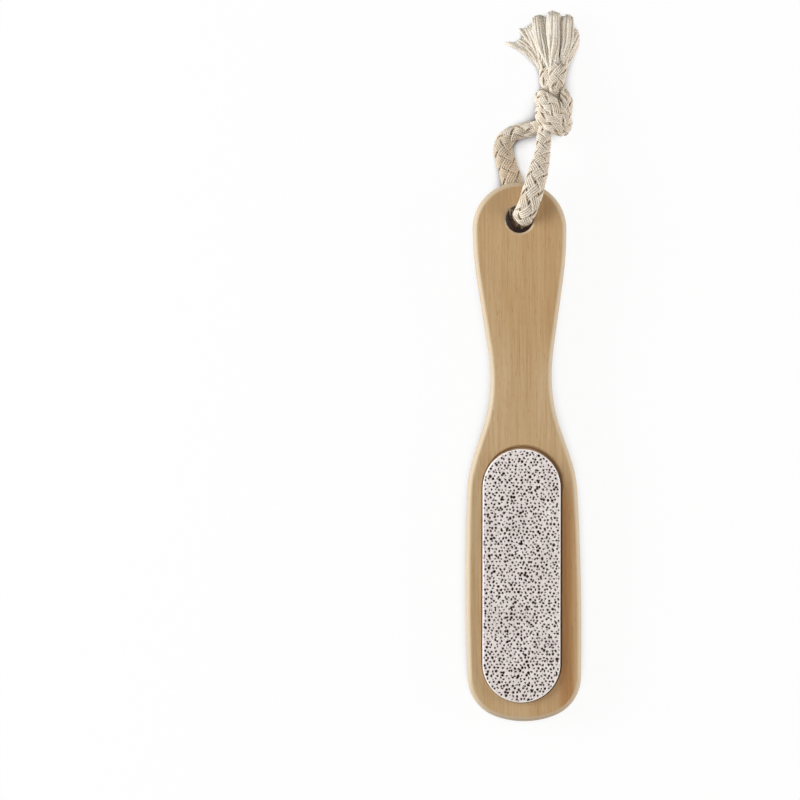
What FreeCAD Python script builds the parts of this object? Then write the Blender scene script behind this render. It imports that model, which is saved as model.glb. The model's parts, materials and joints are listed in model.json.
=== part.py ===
"""A foot file: a wooden paddle with a pumice stone set in its head and a cotton cord in its handle.

The file lies on its back, stone upwards, with the handle towards +Y. One strand of the cord passes
under the handle's end, so the paddle leans a little on it. All sizes are in millimetres.
"""
import FreeCAD
import Part
import math
import os
from FreeCAD import Vector

# Wooden paddle: its outline is measured from the tip of the head, along the handle
length = 200.0
thickness = 11.0
edge_round = 2.0
head_half_width = 21.35
head_widest_y = 42.0
head_side_radius = 970.0
tip_radius = 31.0
tip_corner_radius = 15.5
shoulder_y = 82.3
shoulder_radius = 49.5
neck_half_width = 11.3
neck_y = 127.0
neck_radius_to_head = 58.0
neck_radius_to_handle = 79.0
handle_side_radius = 127.0
handle_end_radius = 17.3

# Hanging hole
hole_diameter = 10.2
hole_from_end = 13.7
hole_edge_round = 1.0

# Pumice stone, set by hand in a routed recess that is a little larger and lies a little askew
stone_length = 94.0
stone_width = 28.8
stone_thickness = 6.5
stone_arris = 0.4
stone_shift_x = -0.15
stone_shift_y = -0.1
recess_side_gap = 0.6
recess_end_gap = 0.45
recess_depth = 5.0
recess_from_tip = 6.9
recess_shift_x = -0.6
recess_turn = 0.7
end_slope_reach = 1.1
end_slope_run = 1.5
end_slope_depth = 2.6
end_slope_shift_x = 0.4
glue_thickness = 0.5
glue_margin = 0.8

# Braided cotton cord
cord_diameter = 6.2
cord_to_hole_wall = 1.7
lift_gap = 0.3
arc_share = 0.45
knot_diameter = 14.2
knot_length = 18.5
knot_end_diameter = 9.0
knot_lean = 8.0
fray_throat = 1.5
fray_root_diameter = 5.2

# Places that follow from those sizes
hole_y = length - hole_from_end
recess_length = stone_length + 2 * recess_end_gap
recess_width = stone_width + 2 * recess_side_gap
recess_y = recess_from_tip + recess_length / 2
recess_floor = thickness - recess_depth
lie = cord_diameter / 2
handle_lift = cord_diameter + lift_gap
tilt = math.asin(handle_lift / (hole_y - edge_round))
face_z = handle_lift + thickness * math.cos(tilt)

# Cord routes from the hanging hole: x to the right, y away from the file, z above the table
cord_y = hole_diameter / 2 - lie - cord_to_hole_wall
cord_in_hole = (0.6, cord_y, face_z - 4.4)
front_leg_route = [
    cord_in_hole,
    (0.6, cord_y, face_z + 2.0),
    (2.4, 5.2, face_z + 6.0),
    (5.6, 15.6, face_z + 4.6),
    (7.6, 24.2, face_z - 1.4),
    (9.4, 30.4, 12.6),
    (11.0, 34.4, 10.2),
]
back_leg_route = [
    cord_in_hole,
    (0.6, cord_y, lie + 4.1),
    (0.2, cord_y + 4.0, lie),
    (-2.6, 12.4, lie),
    (-6.1, 21.2, lie),
    (-7.5, 28.0, lie),
    (-3.2, 32.8, lie + 0.2),
    (3.0, 33.0, lie + 1.4),
    (9.5, 34.1, lie + 3.2),
]
left_tail_route = [
    (11.6, 42.8, lie + 2.5),
    (11.0, 49.0, lie),
    (10.7, 56.8, lie),
]
right_tail_route = [
    (13.3, 42.8, lie + 6.4),
    (14.0, 49.0, lie + 6.4),
    (14.3, 56.8, lie + 5.8),
]
knot_centre = (12.5, 39.9, knot_diameter / 2)

# Frayed bundles: where each tip lies, from the hanging hole, and its diameter there
left_fray_tips = [
    ((-5.2, 65.3, 1.2), 1.6),
    ((0.4, 71.2, 1.4), 2.0),
    ((7.2, 75.5, 2.5), 4.4),
]
right_fray_tips = [
    ((12.7, 77.0, 2.8), 5.2),
    ((17.9, 75.4, 2.6), 4.8),
    ((22.6, 68.0, 1.8), 3.2),
]


def arc_between(start, end, centre, radius):
    """The shorter arc of a circle from one of its points to another."""
    middle = (start + end) * 0.5 - centre
    return Part.Arc(start, centre + middle.normalize() * radius, end).toShape()


def line_between(start, end):
    return Part.LineSegment(start, end).toShape()


def towards(start, end):
    """The unit direction from one point to another."""
    return (end - start).normalize()


def lower_meeting_point(centre_a, radius_a, centre_b, radius_b):
    """The crossing of two circles that lies nearer the head's tip."""
    apart = centre_b.distanceToPoint(centre_a)
    along = (radius_a ** 2 - radius_b ** 2 + apart ** 2) / (2 * apart)
    aside = math.sqrt(radius_a ** 2 - along ** 2)
    way = towards(centre_a, centre_b)
    across = Vector(-way.y, way.x, 0)
    foot = centre_a + way * along
    return min(foot + across * aside, foot - across * aside, key=lambda point: point.y)


def crossing_tangent(centre_a, radius_a, centre_b, radius_b):
    """The direction from circle a's centre to the point where a line touches a, then b's far side."""
    apart = centre_b - centre_a
    bearing = math.atan2(apart.y, apart.x)
    spread = math.acos((radius_a + radius_b) / apart.Length)
    return [Vector(math.cos(bearing + turn), math.sin(bearing + turn), 0) for turn in (spread, -spread)]


def paddle_outline():
    """The closed outline: arcs and tangent lines up the right side, and their mirror image."""
    tip_centre = Vector(0, tip_radius, 0)
    side_centre = Vector(head_half_width - head_side_radius, head_widest_y, 0)
    corner_centre = lower_meeting_point(tip_centre, tip_radius - tip_corner_radius,
                                        side_centre, head_side_radius - tip_corner_radius)
    shoulder_reach = math.sqrt((head_side_radius - shoulder_radius) ** 2 - (shoulder_y - head_widest_y) ** 2)
    shoulder_centre = Vector(side_centre.x + shoulder_reach, shoulder_y, 0)
    low_neck_centre = Vector(neck_half_width + neck_radius_to_head, neck_y, 0)
    high_neck_centre = Vector(neck_half_width + neck_radius_to_handle, neck_y, 0)
    end_centre = Vector(0, length - handle_end_radius, 0)
    belly_centre = end_centre - Vector(handle_side_radius - handle_end_radius, 0, 0)

    tip = Vector(0, 0, 0)
    corner_start = tip_centre + towards(tip_centre, corner_centre) * tip_radius
    side_start = side_centre + towards(side_centre, corner_centre) * head_side_radius
    shoulder_start = side_centre + towards(side_centre, shoulder_centre) * head_side_radius
    way = max(crossing_tangent(shoulder_centre, shoulder_radius, low_neck_centre, neck_radius_to_head),
              key=lambda direction: direction.x)
    shoulder_end = shoulder_centre + way * shoulder_radius
    neck_start = low_neck_centre - way * neck_radius_to_head
    narrowest = Vector(neck_half_width, neck_y, 0)
    way = min(crossing_tangent(high_neck_centre, neck_radius_to_handle, belly_centre, handle_side_radius),
              key=lambda direction: direction.x)
    neck_end = high_neck_centre + way * neck_radius_to_handle
    belly_start = belly_centre - way * handle_side_radius
    widest = end_centre + Vector(handle_end_radius, 0, 0)
    handle_end = Vector(0, length, 0)

    right_side = Part.Wire([
        arc_between(tip, corner_start, tip_centre, tip_radius),
        arc_between(corner_start, side_start, corner_centre, tip_corner_radius),
        arc_between(side_start, shoulder_start, side_centre, head_side_radius),
        arc_between(shoulder_start, shoulder_end, shoulder_centre, shoulder_radius),
        line_between(shoulder_end, neck_start),
        arc_between(neck_start, narrowest, low_neck_centre, neck_radius_to_head),
        arc_between(narrowest, neck_end, high_neck_centre, neck_radius_to_handle),
        line_between(neck_end, belly_start),
        arc_between(belly_start, widest, belly_centre, handle_side_radius),
        arc_between(widest, handle_end, end_centre, handle_end_radius),
    ])
    left_side = right_side.mirror(Vector(0, 0, 0), Vector(1, 0, 0))
    return Part.Wire([right_side, left_side])


def stadium(long, wide, centre_x, centre_y, bottom, height):
    """A straight-sided block with half-round ends."""
    radius = wide / 2
    half_run = long / 2 - radius
    corners = [Vector(centre_x + sx * radius, centre_y + sy * half_run, bottom)
               for sx, sy in ((1, -1), (1, 1), (-1, 1), (-1, -1))]
    far_end = Vector(centre_x, centre_y + long / 2, bottom)
    near_end = Vector(centre_x, centre_y - long / 2, bottom)
    outline = Part.Wire([
        line_between(corners[0], corners[1]),
        Part.Arc(corners[1], far_end, corners[2]).toShape(),
        line_between(corners[2], corners[3]),
        Part.Arc(corners[3], near_end, corners[0]).toShape(),
    ])
    return Part.Face(outline).extrude(Vector(0, 0, height))


def edges_at_height(solid, height):
    """The edges that lie wholly in one level plane."""
    box_of = [(edge, edge.BoundBox) for edge in solid.Edges]
    return [edge for edge, box in box_of if abs(box.ZMin - height) < 1e-3 and abs(box.ZMax - height) < 1e-3]


def askew(solid):
    """The recess, and what lies in it, turned clockwise about the recess's middle."""
    return solid.rotated(Vector(recess_shift_x, recess_y, 0), Vector(0, 0, 1), -recess_turn)


def recess_end_slope():
    """Where the router was drawn out: the recess's wall slopes up to the face towards the handle."""
    mouth_radius = recess_width / 2
    middle_y = recess_y + recess_length / 2 + end_slope_reach - mouth_radius
    foot = Vector(recess_shift_x + end_slope_shift_x, middle_y, thickness - end_slope_depth)
    return Part.makeCone(mouth_radius - end_slope_run, mouth_radius, end_slope_depth, foot)


def wooden_paddle():
    """The paddle with rounded edges, its hanging hole and the recess for the stone.

    It is cut across the neck and joined again, so that the head's back is a face of its own.
    """
    board = Part.Face(paddle_outline()).extrude(Vector(0, 0, thickness))
    board = board.makeFillet(edge_round, edges_at_height(board, 0) + edges_at_height(board, thickness))
    bore = Part.makeCylinder(hole_diameter / 2, thickness, Vector(0, hole_y, 0))
    board = board.cut(bore)
    mouths = [edge for edge in edges_at_height(board, 0) + edges_at_height(board, thickness)
              if isinstance(edge.Curve, Part.Circle) and abs(edge.Curve.Radius - hole_diameter / 2) < 1e-6]
    board = board.makeFillet(hole_edge_round, mouths)
    recess = stadium(recess_length, recess_width, recess_shift_x, recess_y, recess_floor, recess_depth)
    board = board.cut(askew(recess.fuse(recess_end_slope())))
    head_space = Part.makeBox(4 * head_half_width, neck_y + length, 3 * thickness,
                              Vector(-2 * head_half_width, -length, -thickness))
    return board.common(head_space).fuse(board.cut(head_space))


def pumice_stone():
    bottom = recess_floor + glue_thickness
    block = stadium(stone_length, stone_width, recess_shift_x + stone_shift_x, recess_y + stone_shift_y,
                    bottom, stone_thickness)
    return askew(block.makeFillet(stone_arris, edges_at_height(block, bottom + stone_thickness)))


def glue_bed():
    """The film of glue between the recess floor and the stone."""
    return askew(stadium(stone_length - 2 * glue_margin, stone_width - 2 * glue_margin,
                         recess_shift_x + stone_shift_x, recess_y + stone_shift_y,
                         recess_floor, glue_thickness))


def cord_path(points, name):
    """Straight runs joined by tangent arcs, each as large as its two runs allow."""
    edges = []
    radii = []
    start = points[0]
    for before, corner, after in zip(points, points[1:], points[2:]):
        back = towards(corner, before)
        onward = towards(corner, after)
        half_turn = (math.pi - back.getAngle(onward)) / 2
        reach = arc_share * min(before.distanceToPoint(corner), after.distanceToPoint(corner))
        radius = reach / math.tan(half_turn)
        inward = (back + onward).normalize()
        crown = corner + inward * (radius / math.cos(half_turn) - radius)
        edges.append(line_between(start, corner + back * reach))
        edges.append(Part.Arc(corner + back * reach, crown, corner + onward * reach).toShape())
        start = corner + onward * reach
        radii.append(round(radius, 1))
    edges.append(line_between(start, points[-1]))
    print(name, "arc radii in mm:", radii)
    return Part.Wire(edges)


def cord_tube(route, name):
    """A round tube of the cord's diameter along a route given from the hanging hole."""
    points = [Vector(*point) for point in route]
    path = cord_path(points, name)
    section = Part.Wire(Part.makeCircle(lie, points[0], towards(points[0], points[1])))
    tube = path.makePipeShell([section], True, False)
    print(name, "length", round(path.Length, 1), "volume over section times length",
          round(tube.Volume / (math.pi * lie ** 2 * path.Length), 4))
    return tube


def cord_knot():
    """The outer shape of the tied knot: a barrel that leans with the cord."""
    profile = Part.Wire([
        line_between(Vector(0, -knot_length / 2, 0), Vector(knot_end_diameter / 2, -knot_length / 2, 0)),
        Part.Arc(Vector(knot_end_diameter / 2, -knot_length / 2, 0), Vector(knot_diameter / 2, 0, 0),
                 Vector(knot_end_diameter / 2, knot_length / 2, 0)).toShape(),
        line_between(Vector(knot_end_diameter / 2, knot_length / 2, 0), Vector(0, knot_length / 2, 0)),
        line_between(Vector(0, knot_length / 2, 0), Vector(0, -knot_length / 2, 0)),
    ])
    barrel = Part.Face(profile).revolve(Vector(0, 0, 0), Vector(0, 1, 0), 360)
    lean = FreeCAD.Rotation(Vector(0, 0, 1), -knot_lean)
    barrel.Placement = FreeCAD.Placement(Vector(*knot_centre), lean)
    return barrel


def frayed_end(tail_route, tips):
    """A cord end combed out into bundles of yarn that fan out over the table."""
    last, end = [Vector(*point) for point in tail_route[-2:]]
    way = towards(last, end)
    fray = Part.makeCylinder(lie, fray_throat, end, way)
    root = end + way * (fray_throat / 2)
    for tip_place, tip_diameter in tips:
        tip = Vector(*tip_place)
        root_ring = Part.Wire(Part.makeCircle(fray_root_diameter / 2, root, towards(root, tip)))
        tip_ring = Part.Wire(Part.makeCircle(tip_diameter / 2, tip, towards(root, tip)))
        fray = fray.fuse(Part.makeLoft([root_ring, tip_ring], True, True))
    behind = Part.makeCylinder(knot_diameter, knot_length, end, way * -1)
    return fray.cut(behind).removeSplitter()


# At rest the head's tip and the cord under the handle touch the table
rise = math.sin(tilt)
level = math.cos(tilt)
tip_overhang = edge_round * (1 - level) + (thickness - edge_round) * rise
end_reach = (length - edge_round) * level - edge_round * rise + edge_round
rest_place = Vector(0, (tip_overhang - end_reach) / 2, edge_round * (1 - rise - level))
at_rest = FreeCAD.Placement(rest_place, FreeCAD.Rotation(Vector(1, 0, 0), math.degrees(tilt)))
hole_foot = at_rest.multVec(Vector(0, hole_y, 0))
beside_hole = FreeCAD.Placement(Vector(0, hole_foot.y, 0), FreeCAD.Rotation())

file_pieces = {
    "wooden_paddle": wooden_paddle(),
    "pumice_stone": pumice_stone(),
    "glue_bed": glue_bed(),
}
knot = cord_knot()
cord_pieces = {
    "cord_front_leg": cord_tube(front_leg_route, "front leg").cut(knot),
    "cord_back_leg": cord_tube(back_leg_route, "back leg").cut(knot),
    "cord_knot": knot,
    "cord_tail_left": cord_tube(left_tail_route, "left tail").cut(knot),
    "cord_tail_right": cord_tube(right_tail_route, "right tail").cut(knot),
    "frayed_end_left": frayed_end(left_tail_route, left_fray_tips),
    "frayed_end_right": frayed_end(right_tail_route, right_fray_tips),
}

os.makedirs("parts", exist_ok=True)
for pieces, place in ((file_pieces, at_rest), (cord_pieces, beside_hole)):
    for name, shape in pieces.items():
        shape.Placement = place.multiply(shape.Placement)
        shape.exportStep("parts/" + name + ".step")
        box = shape.optimalBoundingBox(False)
        print(name, "solids", len(shape.Solids), "valid", shape.isValid(), "volume", round(shape.Volume, 1),
              "z", round(box.ZMin, 3), round(box.ZMax, 3))
print("tilt in degrees", math.degrees(tilt))
print("swivel point", at_rest.multVec(Vector(0, hole_y, thickness / 2)))
print("swivel axis", at_rest.Rotation.multVec(Vector(0, 0, 1)))
print("point on the head's back", at_rest.multVec(Vector(0, recess_y, 0)))
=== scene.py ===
# %% [markdown]
# # A wooden foot file with a pumice stone and a cotton hanging cord
#
# The file lies on its back on a white table, seen from straight above. The CAD frame already holds the
# paddle, the stone, its glue and plain tubes where the cord lies, all at their real size in metres. This
# lesson keeps the paddle and gives it a finish, and builds what plain solids cannot show: a stone full of
# pores, the glue squeezed up round it, and a cord braided from soft yarns, with its knot and tassel.

# %% Load the frame
import json
import math
import bpy
import numpy as np
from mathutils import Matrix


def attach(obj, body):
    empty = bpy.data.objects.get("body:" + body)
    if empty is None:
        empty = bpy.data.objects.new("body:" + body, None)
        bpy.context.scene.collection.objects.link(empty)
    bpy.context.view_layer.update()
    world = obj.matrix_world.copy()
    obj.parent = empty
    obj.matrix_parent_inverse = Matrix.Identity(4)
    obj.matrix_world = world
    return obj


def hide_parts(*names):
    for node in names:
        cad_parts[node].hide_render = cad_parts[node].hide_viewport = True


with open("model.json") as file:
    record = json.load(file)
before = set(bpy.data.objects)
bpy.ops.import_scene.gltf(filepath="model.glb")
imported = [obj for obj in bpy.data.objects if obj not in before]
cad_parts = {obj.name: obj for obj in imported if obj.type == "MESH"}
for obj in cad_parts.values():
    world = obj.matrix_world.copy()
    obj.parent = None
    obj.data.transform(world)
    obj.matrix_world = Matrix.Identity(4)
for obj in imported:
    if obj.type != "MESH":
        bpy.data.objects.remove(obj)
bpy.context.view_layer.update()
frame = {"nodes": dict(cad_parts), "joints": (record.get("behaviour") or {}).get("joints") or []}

MM = 0.001
print("nodes:", sorted(frame["nodes"]))

# %% [markdown]
# The paddle leans by two degrees, because its handle lies on one strand of the cord. The hinge of the
# cord runs through the hanging hole and square to the board, so its axis tells which way the board's
# face looks, and two lengths along and through the board give the tip of the head. With those three
# directions any place on the board can be written in the board's own terms: across, along and up.

# %% The board's own directions
HOLE_FROM_TIP = 186.3 * MM
HALF_BOARD = 5.5 * MM
BOARD = 2 * HALF_BOARD

hinge = frame["joints"][0]
board_up = np.array(hinge["axis"], float)
board_across = np.array([1.0, 0.0, 0.0])
board_along = np.cross(board_up, board_across)
hole_middle = np.array(hinge["pos_m"], float)
board_tip = hole_middle - board_along * HOLE_FROM_TIP - board_up * HALF_BOARD
board_lean = math.atan2(board_along[2], board_along[1])


def on_board(across, along, up):
    """Row points of places on the board: its tip plus so much of each of its three directions."""
    parts = (across, board_across), (along, board_along), (up, board_up)
    return board_tip + sum(np.asarray(share)[..., None] * way for share, way in parts)


hole_mouth = on_board(0.0, HOLE_FROM_TIP, BOARD)
print("board leans", round(math.degrees(board_lean), 2), "degrees; hole's mouth at", hole_mouth.round(4))

# %% [markdown]
# The photograph looks straight down, so a camera high above with a long lens has the same flat view. Its
# width follows from the scale: the wood is 200 mm long and some 540 pixels tall in the picture, which is
# about 0.37 mm a pixel. The picture's middle lies beside the neck, and a small roll gives the file the
# slight lean that it has there.

# %% Camera
PICTURE_SIDE = 800
MM_PER_PIXEL = 0.3697
CAMERA_HEIGHT = 2.0
SENSOR = 36.0
PICTURE_MIDDLE = (-45.0 * MM, 19.7 * MM)
PICTURE_ROLL = math.radians(-0.66)

view_width = PICTURE_SIDE * MM_PER_PIXEL * MM
camera = bpy.data.objects.new("camera", bpy.data.cameras.new("camera"))
bpy.context.scene.collection.objects.link(camera)
camera.location = (*PICTURE_MIDDLE, hole_mouth[2] + CAMERA_HEIGHT)
camera.rotation_euler = (0, 0, PICTURE_ROLL)
camera.data.sensor_width = SENSOR
camera.data.lens = SENSOR * CAMERA_HEIGHT / view_width
camera.data.clip_end = 10
bpy.context.scene.camera = camera
bpy.context.scene.view_settings.view_transform = "Standard"
print("view is", round(view_width / MM, 1), "mm wide; lens", round(camera.data.lens, 1), "mm")

# %% [markdown]
# A finish in Blender is a small graph of nodes. Written out by hand each node takes several lines, so a
# few helpers keep the recipes short: one makes a material and hands back its main shader, another adds a
# node, sets its values and plugs other nodes into it, and the rest make colours, noise, mixes and relief.


# %% Helpers for finishes
def srgb(red, green, blue):
    """A colour as it is seen, 0 to 255, as the linear values that shaders use: the sRGB curve undone."""
    seen = np.array([red, green, blue]) / 255
    linear = np.where(seen <= 0.04045, seen / 12.92, ((seen + 0.055) / 1.055) ** 2.4)
    return (*linear.tolist(), 1.0)


def new_finish(name):
    """A material with nodes, its node tree and its main shader."""
    material = bpy.data.materials.new(name)
    material.use_nodes = True
    return material, material.node_tree, material.node_tree.nodes["Principled BSDF"]


def add_node(tree, kind, values=None, wires=None, **settings):
    """Adds a node: settings are its options, values its sockets' numbers, wires what feeds its sockets."""
    node = tree.nodes.new(kind)
    for option, choice in settings.items():
        setattr(node, option, choice)
    for socket, value in (values or {}).items():
        node.inputs[socket].default_value = value
    for socket, output in (wires or {}).items():
        tree.links.new(output, node.inputs[socket])
    return node


def stretched_noise(tree, coordinates, scale, detail=2.0, roughness=0.5, turn=(0, 0, 0)):
    """Noise read at coordinates times scale, so a small number along an axis draws it out that way."""
    place = add_node(tree, "ShaderNodeMapping", {"Scale": scale, "Rotation": turn}, {"Vector": coordinates})
    noise = add_node(tree, "ShaderNodeTexNoise",
                     {"Scale": 1.0, "Detail": detail, "Roughness": roughness}, {"Vector": place.outputs[0]})
    return noise.outputs["Fac"]


def colour_ramp(tree, factor, stops):
    """Colours along a number: each stop is a place from 0 to 1 and the colour there."""
    ramp = add_node(tree, "ShaderNodeValToRGB", wires={"Fac": factor})
    elements = ramp.color_ramp.elements
    while len(elements) < len(stops):
        elements.new(0.5)
    for element, (place, colour) in zip(elements, stops):
        element.position = place
        element.color = colour
    return ramp.outputs["Color"]


def mix_colours(tree, factor, first, second, blend="MIX"):
    """Two colours mixed; a factor that is a socket is plugged in, and a number is set."""
    mix = add_node(tree, "ShaderNodeMix", data_type="RGBA", blend_type=blend)
    for name, value in (("Factor_Float", factor), ("A_Color", first), ("B_Color", second)):
        socket = next(s for s in mix.inputs if s.identifier == name)
        if isinstance(value, bpy.types.NodeSocket):
            tree.links.new(value, socket)
        else:
            socket.default_value = value
    return next(s for s in mix.outputs if s.identifier == "Result_Color")


def bump(tree, height, distance, after=None):
    """Tilts the shading as a relief would, a height of 1 being that distance, on top of an earlier bump."""
    wires = {"Height": height}
    if after is not None:
        wires["Normal"] = after
    relief = add_node(tree, "ShaderNodeBump", {"Distance": distance, "Strength": 1.0}, wires)
    return relief.outputs["Normal"]


# %% [markdown]
# The table is white and evenly lit, and the picture shows it as pure white. A wide plane stands for it.
# Seen by the camera, or mirrored in something, it is mostly a plain white; for all other light it is an
# ordinary pale floor, so the file gets light back from below. The plain white gives way where little of the
# room reaches the table, close under the wood and down in the hole, so the shadows there stay, and there
# the floor's own colour is a painted brown shade.

# %% Table
TABLE_SIDE = 3.0
TABLE_WHITENESS = 0.94
SHADOW_REACH = 0.014
SHADED_OPENNESS = 0.34
FREE_OPENNESS = 0.6
# painted shade: the floor's brown where little of the room reaches it, under the wood and in the hole
SHADED_FLOOR = srgb(66, 45, 35)
PALE_FLOOR = srgb(238, 238, 238)


def seen_ray(tree):
    """1 for rays that the camera sees, directly, in a mirror or through glass, else 0."""
    path = add_node(tree, "ShaderNodeLightPath")
    total = path.outputs["Is Camera Ray"]
    for name in ("Is Glossy Ray", "Is Transmission Ray"):
        wires = {0: total, 1: path.outputs[name]}
        total = add_node(tree, "ShaderNodeMath", wires=wires, operation="MAXIMUM").outputs[0]
    return total


def table_finish():
    """A pale floor, painted a shaded brown where it is closed, mixed with plain white: the share is the
    whiteness times how open the place is.
    """
    material, tree, shader = new_finish("white_table")
    open_sky = add_node(tree, "ShaderNodeAmbientOcclusion", {"Distance": SHADOW_REACH}).outputs["AO"]
    limits = {"From Min": SHADED_OPENNESS, "From Max": FREE_OPENNESS}
    openness = add_node(tree, "ShaderNodeMapRange", limits, {"Value": open_sky}).outputs[0]
    # painted shade: the floor turns brown as the place closes in
    floor_colour = mix_colours(tree, openness, SHADED_FLOOR, PALE_FLOOR)
    tree.links.new(floor_colour, shader.inputs["Base Color"])
    shader.inputs["Roughness"].default_value = 0.9
    white = add_node(tree, "ShaderNodeEmission", {"Strength": 1.0})
    seen = add_node(tree, "ShaderNodeMath", {1: TABLE_WHITENESS}, {0: seen_ray(tree)}, operation="MULTIPLY")
    share = add_node(tree, "ShaderNodeMath", wires={0: openness, 1: seen.outputs[0]}, operation="MULTIPLY")
    mix = add_node(tree, "ShaderNodeMixShader",
                   wires={0: share.outputs[0], 1: shader.outputs[0], 2: white.outputs[0]})
    tree.links.new(mix.outputs[0], tree.nodes["Material Output"].inputs["Surface"])
    return material


half = TABLE_SIDE / 2
table_corners = [(-half, -half, 0), (half, -half, 0), (half, half, 0), (-half, half, 0)]
table_mesh = bpy.data.meshes.new("table")
table_mesh.from_pydata(table_corners, [], [(0, 1, 2, 3)])
table = bpy.data.objects.new("table", table_mesh)
bpy.context.scene.collection.objects.link(table)
table_mesh.materials.append(table_finish())
print("table", TABLE_SIDE, "m wide")

# %% [markdown]
# The light is a bright white room: a soft glow from everywhere and two soft lamps, a stronger one of a
# cool white on the left and a weaker, lower one of a warm white on the right. Both stand low, because both
# of the paddle's rounded sides shine paler than its face in the photograph, and the raised stone shades
# the wood on its right.

# %% Light
ROOM_STRENGTH = 0.33
ROOM_TINT = (1.0, 0.985, 0.96, 1.0)
# Each lamp: its place and its side in metres, its power in watts and its tint
LAMPS = {
    "left_lamp": ((-0.90, 0.12, 0.40), 0.8, 13.8, (0.95, 0.98, 1.0)),
    "right_lamp": ((0.95, 0.0, 0.28), 0.6, 8.0, (1.0, 0.98, 0.95)),
}


def light_room():
    """A tinted glow from all round: a strength of 1 for rays that are seen, and the room's for others."""
    world = bpy.data.worlds.new("white_room")
    bpy.context.scene.world = world
    world.use_nodes = True
    tree = world.node_tree
    strength = add_node(tree, "ShaderNodeMix", wires={0: seen_ray(tree)}, data_type="FLOAT")
    strength.inputs[2].default_value = ROOM_STRENGTH
    strength.inputs[3].default_value = 1.0
    background = tree.nodes["Background"]
    background.inputs["Color"].default_value = ROOM_TINT
    tree.links.new(strength.outputs[0], background.inputs["Strength"])


def area_lamp(name, place, side, power, tint):
    """A square soft lamp that looks at the origin."""
    lamp = bpy.data.lights.new(name, "AREA")
    lamp.size = side
    lamp.energy = power
    lamp.color = tint
    thing = bpy.data.objects.new(name, lamp)
    bpy.context.scene.collection.objects.link(thing)
    thing.location = place
    thing.rotation_euler = (-thing.location).to_track_quat("-Z", "Y").to_euler()


light_room()
for lamp_name, settings in LAMPS.items():
    area_lamp(lamp_name, *settings)
print("room at", ROOM_STRENGTH, "with", len(LAMPS), "lamps")

# %% [markdown]
# The paddle is a pale hardwood with straight grain along the handle. Wood is a stack of growth layers, so
# the pattern is a function of place in the block, not of its surface: noise drawn out some seventy times
# along the board gives the layers, finer noise the fibres, and short dark dashes the pores. Read from
# Object coordinates, turned with the board, it runs on round every edge and into the hole and the recess.
# A strip beside the stone is painted browner, as the raised stone's shade on the wood, and the rounded
# edges are painted paler, as the sheen of the lamps on them.

# %% Wood
FIBRE_RELIEF = 0.04 * MM
DASH_RELIEF = 0.02 * MM
# painted shade: the brown that stands for the raised stone's shade on the wood at its right
STONE_SHADE_TINT = srgb(232, 209, 182)
STONE_SHADE_ACROSS = (12.0 * MM, 14.0 * MM, 17.0 * MM, 19.0 * MM)
STONE_SHADE_ALONG = (-22.0 * MM, -6.0 * MM)


def painted_stone_shade(tree, place):
    """1 in a strip of painted shade along the right of the head, the raised stone's shade on the wood,
    falling smoothly to 0 around it.

    It is the product of three smooth steps, at its left side, at its right side and towards the neck."""
    parts = add_node(tree, "ShaderNodeSeparateXYZ", wires={0: place}).outputs
    edges = (0, STONE_SHADE_ACROSS[:2]), (0, STONE_SHADE_ACROSS[:1:-1]), (1, STONE_SHADE_ALONG[::-1])
    share = None
    for axis, (start, stop) in edges:
        step = add_node(tree, "ShaderNodeMapRange", {"From Min": start, "From Max": stop},
                        {"Value": parts[axis]}, interpolation_type="SMOOTHSTEP")
        if share is not None:
            wires = {0: share, 1: step.outputs[0]}
            step = add_node(tree, "ShaderNodeMath", wires=wires, operation="MULTIPLY")
        share = step.outputs[0]
    return share


# painted highlight: the paler tone that stands for the lamps' sheen on the rounded edges
EDGE_SHEEN_PAINT = srgb(195, 177, 150)
EDGE_SHEEN_SHARE = 0.8
RECESS_END = on_board(-0.6 * MM, 86.7 * MM, BOARD).tolist()
RECESS_END_REACH = 16.6 * MM


def painted_edge_sheen(tree):
    """How much painted highlight the rounded edges get, the lamps' sheen on them: most where the surface
    looks neither up or down nor aside.

    The recess slopes at its handle end, and what lies within reach of that end's middle is left out."""
    source = add_node(tree, "ShaderNodeTexCoord").outputs
    rise = add_node(tree, "ShaderNodeSeparateXYZ", wires={0: source["Normal"]}).outputs["Z"]
    level = add_node(tree, "ShaderNodeMath", wires={0: rise}, operation="ABSOLUTE").outputs[0]
    none, most = (0, 0, 0, 1), (EDGE_SHEEN_SHARE, EDGE_SHEEN_SHARE, EDGE_SHEEN_SHARE, 1)
    pale = colour_ramp(tree, level, [(0.10, none), (0.30, most), (0.955, most), (0.99, none)])
    away = add_node(tree, "ShaderNodeVectorMath", {1: RECESS_END}, {0: source["Object"]},
                    operation="DISTANCE").outputs["Value"]
    outside = add_node(tree, "ShaderNodeMath", {1: RECESS_END_REACH}, {0: away}, operation="GREATER_THAN")
    return mix_colours(tree, outside.outputs[0], none, pale)


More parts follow.
